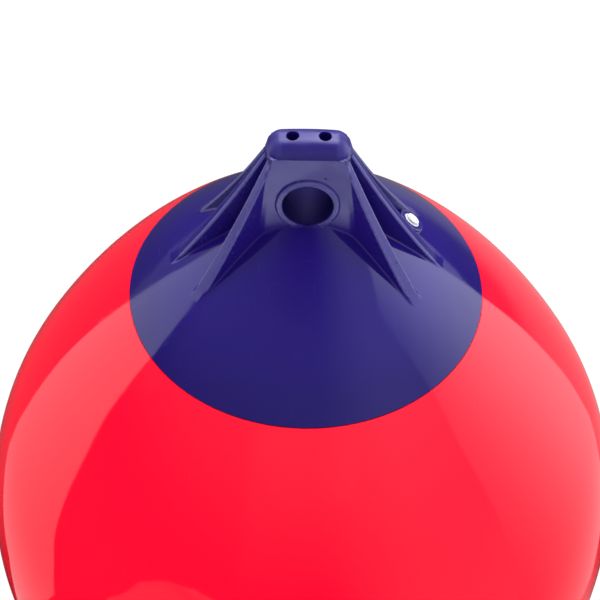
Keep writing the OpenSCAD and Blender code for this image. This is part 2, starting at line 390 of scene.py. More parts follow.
def scattered_specks():
    """Few small round specks, each at its own size."""
    tree, given, result = effect("scattered_specks", {"Scale": 120.0, "Size": 0.12, "Share": 0.2}, ("Mask",))
    cells = add_node(tree, "ShaderNodeTexVoronoi", {"Vector": given["Place"], "Scale": given["Scale"]})
    pick = add_node(tree, "ShaderNodeSeparateColor", {0: cells.outputs["Color"]})
    chosen = maths(tree, "LESS_THAN", pick.outputs[0], given["Share"])
    size = maths(tree, "MULTIPLY", given["Size"], maths(tree, "ADD", pick.outputs[1], 0.35))
    near = maths(tree, "SUBTRACT", 1.0, maths(tree, "DIVIDE", cells.outputs["Distance"], size))
    tree.links.new(maths(tree, "MULTIPLY", ramp(tree, near, 0.0, 0.5), chosen), result["Mask"])
    return tree


def gloss_clouds():
    """Broad soft patches in which the gloss differs a little."""
    tree, given, result = effect("gloss_clouds", {"Scale": 14.0}, ("Mask",))
    tree.links.new(ramp(tree, noise(tree, given["Place"], given["Scale"], 4.0), 0.32, 0.68), result["Mask"])
    return tree


def handling_scuffs():
    """Short faint scratches in two directions, in some places only."""
    tree, given, result = effect("handling_scuffs", {"Scale": 60.0, "Share": 0.12}, ("Mask",))
    marks = None
    for turn, stretch in ((0.5, (1.0, 14.0, 1.0)), (-0.9, (16.0, 1.0, 1.2))):
        stroke = {"Vector": given["Place"], "Rotation": (0.2, turn, turn), "Scale": stretch}
        laid = add_node(tree, "ShaderNodeMapping", stroke)
        mark = ramp(tree, noise(tree, laid.outputs[0], given["Scale"], 2.0), 0.66, 0.74)
        marks = mark if marks is None else maths(tree, "MAXIMUM", marks, mark)
    limit = maths(tree, "SUBTRACT", 0.62, given["Share"])
    some = ramp(tree, maths(tree, "SUBTRACT", noise(tree, given["Place"], 11.0, 2.0), limit), 0.0, 0.12)
    tree.links.new(maths(tree, "MULTIPLY", marks, some), result["Mask"])
    return tree


def placed(tree, make, place_at, **values):
    """Puts a shared effect, named as the function that makes it, into a material with its own values."""
    node = tree.nodes.new("ShaderNodeGroup")
    node.node_tree = bpy.data.node_groups.get(make.__name__) or make()
    tree.links.new(place_at, node.inputs["Place"])
    for label, value in values.items():
        node.inputs[label].default_value = value
    return node.outputs


def start_material(name):
    """Empty material with its shader and Object coordinates."""
    material = bpy.data.materials.new(name)
    material.use_nodes = True
    tree = material.node_tree
    return material, tree, tree.nodes["Principled BSDF"], tree.nodes.new("ShaderNodeTexCoord").outputs["Object"]


def relief(tree, skin, *layers):
    """Stacks bump layers of (height, depth) and hands their normal to the shader."""
    normal = None
    for height, depth in layers:
        links = {"Height": height, "Distance": depth, "Strength": 1.0}
        if normal is not None:
            links["Normal"] = normal
        normal = add_node(tree, "ShaderNodeBump", links).outputs["Normal"]
    tree.links.new(normal, skin.inputs["Normal"])


def red_vinyl(look):
    """Glossy blown vinyl: slow waves, fine grain, clouds in the gloss, faint scuffs and a little dust."""
    material, tree, skin, place_at = start_material("red_vinyl")
    grain = placed(tree, moulded_grain, place_at, Scale=420.0)
    clouds = placed(tree, gloss_clouds, place_at, Scale=9.0)
    scuffs = placed(tree, handling_scuffs, place_at, Scale=34.0, Share=0.1)
    dust = placed(tree, scattered_specks, place_at, Scale=85.0, Size=0.03, Share=0.25)
    deep = (look.colour[0] * 0.93, look.colour[1] * 0.8, look.colour[2] * 0.85, 1)
    tone = tinted(tree, shade(look.colour), grain["Tone"], 0.5, deep)
    tone = tinted(tree, tone, dust["Mask"], 0.5, shade(look.dust))
    tree.links.new(tone, skin.inputs["Base Color"])
    gloss = ramp(tree, clouds["Mask"], 0.0, 1.0, look.roughness * 0.8, look.roughness * 1.5)
    gloss = roughened(tree, gloss, scuffs["Mask"], 0.1)
    gloss = roughened(tree, gloss, dust["Mask"], 0.3)
    tree.links.new(gloss, skin.inputs["Roughness"])
    waves, ripples = noise(tree, place_at, 16.0, 1.0), noise(tree, place_at, 48.0, 1.0)
    relief(
        tree, skin, (waves, 0.35 * MM), (ripples, 0.03 * MM), (grain["Height"], 0.003 * MM),
        (scuffs["Mask"], -0.01 * MM))
    return material


def blue_vinyl(look):
    """Moulded vinyl: glossy on the dome, duller on neck, ribs and head, with pits and flow lines, a painted highlight
    on sharp edges, and painted shade inside the bore and on the lower dome.
    """
    material, tree, skin, place_at = start_material("blue_vinyl")
    moulded, bore, edge, dull = (
        add_node(tree, "ShaderNodeAttribute", attribute_name=name).outputs["Fac"]
        for name in ("moulded", "bore", "edge", "dull"))
    grain = placed(tree, moulded_grain, place_at, Scale=700.0)
    clouds = placed(tree, gloss_clouds, place_at, Scale=26.0)
    scuffs = placed(tree, handling_scuffs, place_at, Scale=70.0, Share=0.14)
    pits = placed(tree, scattered_specks, place_at, Scale=150.0, Size=0.12, Share=0.6)
    dust = placed(tree, scattered_specks, place_at, Scale=260.0, Size=0.07, Share=0.12)
    pit = maths(tree, "MULTIPLY", pits["Mask"], moulded)
    pale = shade(look.colour, 1.5, 0.01)
    tone = tinted(tree, shade(look.colour), grain["Tone"], 0.6, shade(look.colour, 0.8))
    spot = add_node(tree, "ShaderNodeSeparateXYZ", {0: place_at}).outputs
    # Painted shade: the blue darkens to 0.72 of its colour from 70 mm to 113 mm from the axis, on the lower dome.
    around = maths(tree, "ADD", maths(tree, "POWER", spot[0], 2.0), maths(tree, "POWER", spot[1], 2.0))
    outer = ramp(tree, around, 0.07 ** 2, 0.113 ** 2)
    tone = blend(tree, outer, tone, shade(look.colour, 0.72))
    tone = tinted(tree, tone, scuffs["Mask"], 0.5, pale)
    tone = tinted(tree, tone, dust["Mask"], 0.4, pale)
    # Painted highlight: sharp edges are paled towards the edge highlight colour in place of glints.
    tone = tinted(tree, tone, edge, 0.7, shade(look.edge_colour))
    tone = blend(tree, pit, tone, shade(look.pit_colour))
    # Painted shade: the skin inside the eye's bore is darkened towards the pits' colour.
    tone = tinted(tree, tone, bore, 0.65, shade(look.pit_colour))
    tree.links.new(tone, skin.inputs["Base Color"])
    dome = ramp(tree, clouds["Mask"], 0.0, 1.0, look.dome_roughness * 0.8, look.dome_roughness * 1.4)
    hold = ramp(tree, clouds["Mask"], 0.0, 1.0, look.hold_roughness * 0.75, look.hold_roughness * 1.35)
    share = maths(tree, "MULTIPLY", moulded, maths(tree, "SUBTRACT", hold, dome))
    gloss = maths(tree, "ADD", dome, share)
    for mask, extra in ((scuffs["Mask"], 0.12), (pit, 0.4), (bore, 0.3), (dull, 0.18)):
        gloss = roughened(tree, gloss, mask, extra)
    tree.links.new(gloss, skin.inputs["Roughness"])
    tree.links.new(ramp(tree, bore, 0.0, 1.0, 0.75, 0.06), skin.inputs["Specular IOR Level"])
    skin.inputs["Specular Tint"].default_value = (0.68, 0.68, 1.0, 1.0)
    laid = add_node(tree, "ShaderNodeMapping", {"Vector": place_at, "Scale": (1.0, 0.12, 1.0)})
    flow = ramp(tree, noise(tree, laid.outputs[0], 420.0, 2.0), 0.52, 0.66)
    flow = maths(tree, "MULTIPLY", flow, bore)
    waves = noise(tree, place_at, 38.0, 1.0)
    uneven = maths(tree, "MULTIPLY", grain["Height"], maths(tree, "ADD", 0.08, moulded))
    relief(tree, skin, (waves, 0.22 * MM), (uneven, 0.02 * MM), (flow, 0.03 * MM), (pit, -0.2 * MM))
    return material


def white_plastic(look):
    """Satin moulded plastic with fine grain and a few specks of grime."""
    material, tree, skin, place_at = start_material("white_plastic")
    grain = placed(tree, moulded_grain, place_at, Scale=1500.0)
    clouds = placed(tree, gloss_clouds, place_at, Scale=160.0)
    specks = placed(tree, scattered_specks, place_at, Scale=420.0, Size=0.1, Share=0.12)
    tone = blend(tree, clouds["Mask"], shade(look.colour), shade(look.colour, 0.93))
    tone = tinted(tree, tone, specks["Mask"], 0.6, shade(look.grime))
    tree.links.new(tone, skin.inputs["Base Color"])
    gloss = ramp(tree, clouds["Mask"], 0.0, 1.0, look.roughness * 0.8, look.roughness * 1.3)
    tree.links.new(gloss, skin.inputs["Roughness"])
    relief(tree, skin, (grain["Height"], 0.012 * MM))
    return material


class BUOY_OT_envelope(Operator):
    """Turns the red envelope as a closed shell with the fine groove at the colour line."""

    bl_idname = "buoy.envelope"
    bl_label = "Envelope"

    def execute(self, context):
        s = shape()
        look = context.scene.buoy_envelope
        centre = (0.0, CENTRE_Z)
        latitude = s.shoulder_latitude
        edge = shoulder_angle(s.cap_edge_radius)
        groove = look.groove / s.shoulder_radius
        outer = arc(shoulder_centre(), s.shoulder_radius, edge - groove, latitude, 40)
        outer += arc(centre, s.body_radius, latitude, -math.pi / 2, 110)[1:]
        outer[-1] = (0.0, outer[-1][1])
        inner = arc(centre, s.body_radius - look.wall, -math.pi / 2, latitude, 40)
        inner[0] = (0.0, inner[0][1])
        inner += arc(shoulder_centre(), s.shoulder_radius - look.wall, latitude, edge, 12)[1:]
        lip = arc(shoulder_centre(), s.shoulder_radius - look.groove_depth, edge - groove / 2, edge - groove / 2, 1)
        body = turned("envelope_skin", inner + lip + outer, look.steps)
        place(body, red_vinyl(look), "red_vinyl", "envelope")
        return {"FINISHED"}


def vertex_places(obj):
    """Vertex places of a mesh as an array."""
    co = np.empty(len(obj.data.vertices) * 3)
    obj.data.vertices.foreach_get("co", co)
    return co.reshape(-1, 3)


def set_places(obj, co):
    """Writes vertex places back to a mesh."""
    obj.data.vertices.foreach_set("co", np.ascontiguousarray(co).ravel())
    obj.data.update()


def towards_neighbours(co, ends):
    """Step of each vertex to the middle of its neighbours."""
    count = np.bincount(ends.ravel(), minlength=len(co))[:, None]
    total = np.zeros_like(co)
    for axis in range(3):
        total[:, axis] = np.bincount(ends[:, 0], co[ends[:, 1], axis], len(co))
        total[:, axis] += np.bincount(ends[:, 1], co[ends[:, 0], axis], len(co))
    return total / np.maximum(count, 1) - co


def dome_distance(co):
    """Distance of points from the dome's outer surface, positive outside."""
    centre_r, centre_z = shoulder_centre()
    radius = np.hypot(co[:, 0], co[:, 1])
    return np.hypot(radius - centre_r, co[:, 2] - centre_z) - shape().shoulder_radius


def from_eye_axis(co):
    """Distance of points from the axis of the eye."""
    return np.hypot(co[:, 0] - EYE_CENTRE.x, co[:, 2] - EYE_CENTRE.z)


def fade(value, width):
    """Share that grows from 0 to 1 while a value grows from 0 to a width."""
    return np.clip(value / width, 0, 1)


def rounded_union(first, second, radius):
    """Distance from two forms grown together with a rounded inner corner."""
    corner = np.hypot(np.maximum(radius - first, 0), np.maximum(radius - second, 0))
    return np.maximum(radius, np.minimum(first, second)) - corner


def rounded_overlap(first, second, radius):
    """Distance from what two forms share, with a rounded outer edge."""
    corner = np.hypot(np.maximum(first + radius, 0), np.maximum(second + radius, 0))
    return np.minimum(-radius, np.maximum(first, second)) + corner


def node_copy(node, name):
    """Copies a node's solid into a new object and merges its loose triangles."""
    obj = bpy.data.objects.new(name, frame["nodes"][node].data.copy())
    bpy.context.scene.collection.objects.link(obj)
    select_only(obj)
    edit_all()
    bpy.ops.mesh.remove_doubles(threshold=MERGE_DISTANCE)
    bpy.ops.object.mode_set(mode="OBJECT")
    return obj


def join_into(obj, *others):
    """Joins other objects into one."""
    select_only(obj)
    for other in others:
        other.select_set(True)
    bpy.ops.object.join()


def rod(name, radius, low, high, turn):
    """Closed round rod between two heights of a turned frame."""
    bpy.ops.object.select_all(action="DESELECT")
    middle = turn @ Matrix.Translation((0, 0, (low + high) / 2))
    bpy.ops.mesh.primitive_cylinder_add(
        vertices=HOLE_SIDES, radius=radius, depth=high - low, location=middle.translation, rotation=middle.to_euler())
    obj = bpy.context.object
    obj.name = name
    bpy.ops.object.transform_apply(location=True, rotation=True, scale=True)
    return obj


def valve_frame(look):
    """Frame at the valve on the dome, with Z out of the wall."""
    centre_r, centre_z = shoulder_centre()
    tilt = math.atan2(look.distance - centre_r, dome_height(look.distance) - centre_z)
    spot = Matrix.Translation((look.distance, 0, dome_height(look.distance)))
    return Matrix.Rotation(look.bearing, 4, "Z") @ spot @ Matrix.Rotation(tilt, 4, "Y")


class HoldForm:
    """Distance of points from the rope hold's skin, with all of its edges and inner corners rounded."""

    # How far the neck and the ribs run on into the head, and the ribs past their hub.
    OVERLAP = 2 * MM
    # Rounding of the head's two ends, and twice the radius to which its top is crowned.
    HEAD_END = 9 * MM
    HEAD_CROWN = 0.45
    # Least and greatest rounding of the joint between the head and what stands under it.
    JOINT_LEAST = 0.02 * MM
    JOINT_MOST = 4 * MM
    # Where that joint begins to grow across the eye and behind the plates' faces, and over which ways.
    JOINT_START, JOINT_WAY = 20 * MM, 6 * MM
    FACE_START, FACE_WAY = 0.2 * MM, 4 * MM
    # Where the crease under the plates ends across the eye and begins along it, and over which ways.
    BASE_END, BASE_END_WAY = 32 * MM, 10 * MM
    BASE_START, BASE_START_WAY = 8 * MM, 4 * MM
    # Crease round the eye's rim and the valve's boss, and the boss's own edge and depth in the wall.
    SMALL_CREASE = 0.8 * MM
    BOSS_EDGE = 0.7 * MM
    BOSS_DEPTH = 5 * MM
    # Steps over which the turn and the slope of the skin are measured, and the least slope that counts.
    TURN_STEP = 0.5 * MM
    SLOPE_STEP = 0.02 * MM
    LEAST_SLOPE = 0.2

    def __init__(self, look, valve):
        self.look = look
        self.valve = valve
        self.head_z = HOLD_HIGH.z
        self.neck_z = HOLD_HIGH.z - look.head_h
        self.to_valve = np.array(valve_frame(valve).inverted())

    def neck(self, x, y, z):
        """Tapered block between the two plates and the neck's flanks."""
        look = self.look
        below = self.neck_z - z
        flank = (np.abs(x) - look.neck_w / 2 - below * math.tan(look.neck_draft)) * math.cos(look.neck_draft)
        return np.maximum(rounded_overlap(flank, self.plate(y, z), look.crease_r), -below - self.OVERLAP)

    def plate(self, y, z):
        """Leaning faces of the plates round the eye."""
        look = self.look
        half = look.neck_t / 2 + (self.neck_z - z) * math.tan(look.plate_lean)
        return (np.abs(y) - half) * math.cos(look.plate_lean)

    def head(self, x, y, z):
        """Bar on top of the neck, round along its upper edges and at its ends."""
        look = self.look
        lean = look.head_lean
        out = np.abs(y) - (look.head_t / 2 - look.head_r)
        up = z - self.head_z + look.head_r + x ** 2 / self.HEAD_CROWN
        face = out * math.cos(lean) + up * math.sin(lean)
        edge = up * math.cos(lean) > out * math.sin(lean)
        arch = np.where(edge & (out > 0), np.hypot(out, up), np.maximum(up, face)) - look.head_r
        arch = np.maximum(arch, self.plate(y, z))
        bar = rounded_overlap(arch, np.abs(x) - look.head_w / 2, self.HEAD_END)
        return np.maximum(bar, self.neck_z - z)

    def rib(self, x, y, z, angle, foot_r):
        """Rib that leaves the hub at an angle, sinks from the head to its foot on the dome and grows thicker."""
        look = self.look
        out = x - look.rib_hub
        reach = out * math.cos(angle) + y * math.sin(angle)
        aside = np.abs(y * math.cos(angle) - out * math.sin(angle))
        hub = look.rib_hub * math.sin(angle), look.rib_hub * math.cos(angle)
        foot = math.sqrt(foot_r ** 2 - hub[0] ** 2) - hub[1], dome_height(foot_r)
        top_z = self.head_z - look.rib_drop
        slope = math.atan2(foot[0] - look.rib_top_r, top_z - foot[1])
        length = math.hypot(foot[0] - look.rib_top_r, top_z - foot[1])
        taper = math.atan((look.rib_foot_t - look.rib_top_t) / 2 / length)
        crest = (reach - look.rib_top_r) * math.cos(slope) + (z - top_z) * math.sin(slope)
        down = (reach - look.rib_top_r) * math.sin(slope) - (z - top_z) * math.cos(slope)
        crest = crest + look.rib_sag * np.sin(np.pi * fade(down, length))
        side = (aside - look.rib_top_t / 2 - down * math.tan(taper)) * math.cos(taper)
        slab = rounded_overlap(crest, side, look.rib_edge)
        return np.maximum(slab, np.maximum(z - self.neck_z - self.OVERLAP, -reach - self.OVERLAP))

    def boss(self, co):
        """Low round boss that carries the valve."""
        local = co @ self.to_valve[:3, :3].T + self.to_valve[:3, 3]
        around = np.hypot(local[:, 0], local[:, 1]) - self.valve.boss_radius
        disc = rounded_overlap(around, local[:, 2] - self.valve.boss_height, self.BOSS_EDGE)
        return np.maximum(disc, -self.BOSS_DEPTH - local[:, 2])

    def distance(self, co):
        """All forms grown together on the dome and bored through by the eye."""
        look = self.look
        x, y, z = co.T
        grown = self.neck(x, y, z)
        for angle, foot_r in ((0.0, look.mid_foot_r), (look.rib_spread, look.outer_foot_r)):
            rib = self.rib(np.abs(x), np.abs(y), z, angle, foot_r)
            grown = rounded_union(grown, rib, look.crease_r)
        inside = fade(-self.plate(y, z) - self.FACE_START, self.FACE_WAY)
        aside = fade(np.abs(x) - self.JOINT_START, self.JOINT_WAY)
        joint = self.JOINT_LEAST + self.JOINT_MOST * inside * aside
        grown = rounded_union(grown, self.head(x, y, z), joint)
        base = fade(self.BASE_END - np.abs(x), self.BASE_END_WAY)
        base = base * fade(np.abs(y) - self.BASE_START, self.BASE_START_WAY)
        grown = rounded_union(grown, dome_distance(co), look.foot_r + (look.base_r - look.foot_r) * base)
        from_eye = from_eye_axis(co)
        rim = rounded_overlap(from_eye - look.rim_r, self.plate(y, z) - look.rim_h, look.rim_edge)
        grown = rounded_union(grown, rim, self.SMALL_CREASE)
        grown = rounded_union(grown, self.boss(co), self.SMALL_CREASE)
        return rounded_overlap(grown, EYE_RADIUS - from_eye, look.mouth_r)

    def sharpness(self, co):
        """How sharply the skin turns outwards, per millimetre."""
        step = self.TURN_STEP
        around = [self.distance(co + turn * step * axis) for axis in np.eye(3) for turn in (-1, 1)]
        return (sum(around) - 6 * self.distance(co)) / step ** 2 * MM

    def settle(self, co):
        """Moves points along the slope of the distance onto the skin."""
        step = self.SLOPE_STEP
        here = self.distance(co)
        slope = np.column_stack([(self.distance(co + step * axis) - here) / step for axis in np.eye(3)])
        return co - slope * (here / np.maximum((slope ** 2).sum(axis=1), self.LEAST_SLOPE))[:, None]


def net_of_skin(form, low, high, step):
    """Quads round every place of a grid in which the form's skin passes, as points and faces."""
    axes = [np.arange(a, b + step, step) for a, b in zip(low, high)]
    flat = np.stack(np.meshgrid(axes[0], axes[1], indexing="ij"), axis=-1).reshape(-1, 2)
    inside = np.empty([len(axis) for axis in axes], dtype=bool)
    for layer, z in enumerate(axes[2]):
        level = form.distance(np.column_stack([flat, np.full(len(flat), z)])) < 0
        inside[:, :, layer] = level.reshape(len(axes[0]), len(axes[1]))
    count = np.zeros([len(axis) - 1 for axis in axes], dtype=np.int8)
    for i, j, k in np.ndindex(2, 2, 2):
        count += inside[i:i + count.shape[0], j:j + count.shape[1], k:k + count.shape[2]]
    crossed = (count > 0) & (count < 8)
    number = np.full(count.shape, -1)
    number[crossed] = np.arange(crossed.sum())
    points = np.array(low) + (np.argwhere(crossed) + 0.5) * step
    faces = []
    for axis in range(3):
        turned_axes = (axis, (axis + 1) % 3, (axis + 2) % 3)
        solid = inside.transpose(turned_axes)
        cells = number.transpose(turned_axes)
        before, after = solid[:-1, 1:-1, 1:-1], solid[1:, 1:-1, 1:-1]
        around = [cells[:, :-1, :-1], cells[:, 1:, :-1], cells[:, 1:, 1:], cells[:, :-1, 1:]]
        outwards = before & ~after
        inwards = after & ~before
        faces.append(np.column_stack([part[outwards] for part in around]))
        faces.append(np.column_stack([part[inwards] for part in around[::-1]]))
    return points, np.concatenate(faces)


class BUOY_OT_rope_hold(Operator):
    """Moulds the rope hold with rounded edges and filled inner corners onto a turned dome."""

    bl_idname = "buoy.rope_hold"
    bl_label = "Rope hold"

    # Share of the way to its neighbours that a point takes in each pass, and the steps onto the skin in the last.
    EASE = 0.5
    LAST_STEPS = 3
    # Height under which the net only repeats the plain dome and is left out.
    BARE_DOME = 0.015 * MM
    # How far the open foot is carried into the dome's wall.
    FOOT_DEPTH = 2.5 * MM
    # Thickness of the dome's shell, and where it begins under the neck.
    SHELL = 3 * MM
    SHELL_START = 18 * MM
    # How far the cutters stand out of the head and of the boss.
    HEAD_CLEARANCE = 5 * MM
    BOSS_CLEARANCE = 20 * MM
    # Reach from the skin, step, and likeness to the mesh's own normal of the normals that are set.
    SKIN_REACH = 0.02 * MM
    NORMAL_STEP = 0.05 * MM
    LIKENESS = 0.75
    # Height over the dome that counts as moulded, and the share of it that doesn't yet.
    MOULDED_RISE, MOULDED_START = 1.5 * MM, 0.3
    # Ring round the eye that counts as bore.
    BORE_RING = 1.2 * MM
    # Sharpness at which an edge begins to pale as a painted highlight, and how much more makes it pale.
    EDGE_START, EDGE_RISE = 0.12, 0.5
    # Height round the head's joint on which no edge gets the painted highlight and over which the head becomes dull.
    JOINT_RISE, JOINT_START = 3 * MM, 0.4

    def execute(self, context):
        look = context.scene.buoy_rope_hold
        valve = context.scene.buoy_valve
        form = HoldForm(look, valve)
        hold = self.moulding(form, look)
        self.cut_holes(hold, look, valve)
        bpy.ops.object.shade_smooth_by_angle(angle=math.radians(40))
        self.true_normals(hold, form)
        join_into(hold, self.dome())
        self.mark_skin(hold, form)
        place(hold, blue_vinyl(look), "blue_vinyl", "rope_hold")
        return {"FINISHED"}

    def moulding(self, form, look):
        """Neck, head, rim, ribs and boss down to where their rounded feet run out on the dome."""
        far = look.mid_foot_r + 8 * MM
        wide = look.outer_foot_r * math.sin(look.rib_spread) + 14 * MM
        low = (-far, -wide, dome_height(far) - 4 * MM)
        points, faces = net_of_skin(form, low, (far, wide, form.head_z + 2 * MM), look.voxel)
        sides = np.concatenate([faces[:, [i, (i + 1) % 4]] for i in range(4)])
        ends = np.unique(np.sort(sides, axis=1), axis=0)
        for turn in range(look.passes):
            points = points + self.EASE * towards_neighbours(points, ends)
            for _ in range(1 if turn < look.passes - 1 else self.LAST_STEPS):
                points = form.settle(points)
        bored = (from_eye_axis(points) < EYE_RADIUS + 3 * MM) & (np.abs(points[:, 1]) < BORE_HALF)
        grown = (bored | (dome_distance(points) > self.BARE_DOME))[faces].any(axis=1)
        faces = faces[grown]
        used = np.unique(faces)
        hold = new_mesh_object("rope_hold_moulding", points[used], (), np.searchsorted(used, faces))
        self.close_foot(hold)
        return hold

    def close_foot(self, hold):
        """Carries the open foot a little way into the dome and closes it there."""
        bpy.ops.object.mode_set(mode="EDIT")
        bpy.ops.mesh.select_mode(type="EDGE")
        bpy.ops.mesh.select_all(action="DESELECT")
        bpy.ops.mesh.select_non_manifold(
            use_wire=False, use_multi_face=False, use_non_contiguous=False, use_verts=False)
        bpy.ops.mesh.extrude_region_move()
        bpy.ops.object.mode_set(mode="OBJECT")
        co = vertex_places(hold)
        chosen = np.zeros(len(co), dtype=bool)
        hold.data.vertices.foreach_get("select", chosen)
        co[chosen, 2] -= self.FOOT_DEPTH
        set_places(hold, co)
        edit_all()
        bpy.ops.mesh.fill_holes(sides=0)
        bpy.ops.mesh.select_mode(type="VERT")
        bpy.ops.object.mode_set(mode="OBJECT")

    def true_normals(self, hold, form):
        """Gives the corners on the skin the form's own normals, so that highlights run clean along the edges."""
        mesh = hold.data
        co = vertex_places(hold)
        skin = np.abs(form.distance(co)) < self.SKIN_REACH
        steps = self.NORMAL_STEP * np.eye(3)
        slope = np.column_stack([form.distance(co + step) - form.distance(co - step) for step in steps])
        slope /= np.maximum(np.linalg.norm(slope, axis=1), 1e-12)[:, None]
        corners = np.empty(len(mesh.loops) * 3, dtype=np.float32)
        mesh.corner_normals.foreach_get("vector", corners)
        corners = corners.reshape(-1, 3)
        owner = np.empty(len(mesh.loops), dtype=np.int32)
        mesh.loops.foreach_get("vertex_index", owner)
        agree = np.einsum("ij,ij->i", corners, slope[owner]) > self.LIKENESS
        chosen = skin[owner] & agree
        corners[chosen] = slope[owner][chosen]
        mesh.normals_split_custom_set(corners.tolist())

    def dome(self):
        """Turned shell of the plain dome down to the colour line."""
        s = shape()
        inner, edge = shoulder_angle(self.SHELL_START), shoulder_angle(s.cap_edge_radius)
        side = arc(shoulder_centre(), s.shoulder_radius, inner, edge, 52)
        back = arc(shoulder_centre(), s.shoulder_radius - self.SHELL, edge, inner, 14)
        return turned("rope_hold_dome", side + back + side[:1], DOME_STEPS)

    def cut_holes(self, hold, look, valve):
        """Cuts the two blind holes of the head and the valve's seat."""
        top = HOLD_HIGH.z
        floor = valve.boss_height - valve.seat_depth
        steps = [
            (0, -valve.barrel_depth), (valve.barrel_radius, -valve.barrel_depth), (valve.barrel_radius, floor),
            (valve.seat_radius, floor), (valve.seat_radius, self.BOSS_CLEARANCE), (0, self.BOSS_CLEARANCE)]
        tool = turned("hole_cutter", steps, HOLE_SIDES)
        tool.data.transform(valve_frame(valve))
        for side in (-1, 1):
            spot = Matrix.Translation((side * look.hole_pitch / 2, 0, 0))
            ends = top - look.hole_depth, top + self.HEAD_CLEARANCE
            join_into(tool, rod("blind_hole", look.hole_diameter / 2, *ends, spot))
        select_only(hold)
        cut = hold.modifiers.new("cut", "BOOLEAN")
        cut.operation = "DIFFERENCE"
        cut.solver = "EXACT"
        cut.object = tool
        bpy.ops.object.modifier_apply(modifier=cut.name)
        bpy.data.objects.remove(tool)

    def mark_skin(self, hold, form):
        """Marks for the material which places are neck and ribs, bore (darkened there as painted shade), sharp edges
        (paled there as a painted highlight) and the dull head.
        """
        co = vertex_places(hold)
        moulded = np.clip(dome_distance(co) / self.MOULDED_RISE - self.MOULDED_START, 0, 1)
        bore = fade(EYE_RADIUS + self.BORE_RING - from_eye_axis(co), MM) * (np.abs(co[:, 1]) < BORE_HALF)
        # Painted highlight: where the skin turns sharply outwards the colour is paled in place of glints.
        edge = fade(form.sharpness(co) - self.EDGE_START, self.EDGE_RISE) * moulded * (1 - bore)
        edge *= np.clip(np.abs(co[:, 2] - form.neck_z) / self.JOINT_RISE - self.JOINT_START, 0, 1)
        dull = fade(co[:, 2] - form.neck_z - MM, self.JOINT_RISE)
        marks = {"moulded": np.maximum(moulded, bore), "bore": bore, "edge": edge, "dull": dull}
        for name, values in marks.items():
            layer = hold.data.attributes.new(name, "FLOAT", "POINT")
            layer.data.foreach_set("value", values.astype(np.float32))


class BUOY_OT_valve(Operator):
    """Breaks the edges of the white valve body and its plug."""

    bl_idname = "buoy.valve"
    bl_label = "Air valve"

    def execute(self, context):
        look = context.scene.buoy_valve
        material = white_plastic(look)
        for node in ("valve_body", "valve_plug"):
            piece = node_copy(node, node + "_finished")
            edit_all()
            bpy.ops.mesh.dissolve_limited(angle_limit=math.radians(1))
            bpy.ops.object.mode_set(mode="OBJECT")
            bevel = piece.modifiers.new("broken_edges", "BEVEL")
            bevel.width = look.edge
            bevel.segments = 3
            bevel.angle_limit = math.radians(50)
            bpy.ops.object.modifier_apply(modifier=bevel.name)
            bpy.ops.object.shade_smooth_by_angle(angle=math.radians(35))
            place(piece, material, "white_plastic", node)
        return {"FINISHED"}


def lying(outline, height=CARD_HEIGHT):
    """Corners of a flat outline at a height over the floor."""
    return [(x, y, height) for x, y in outline]


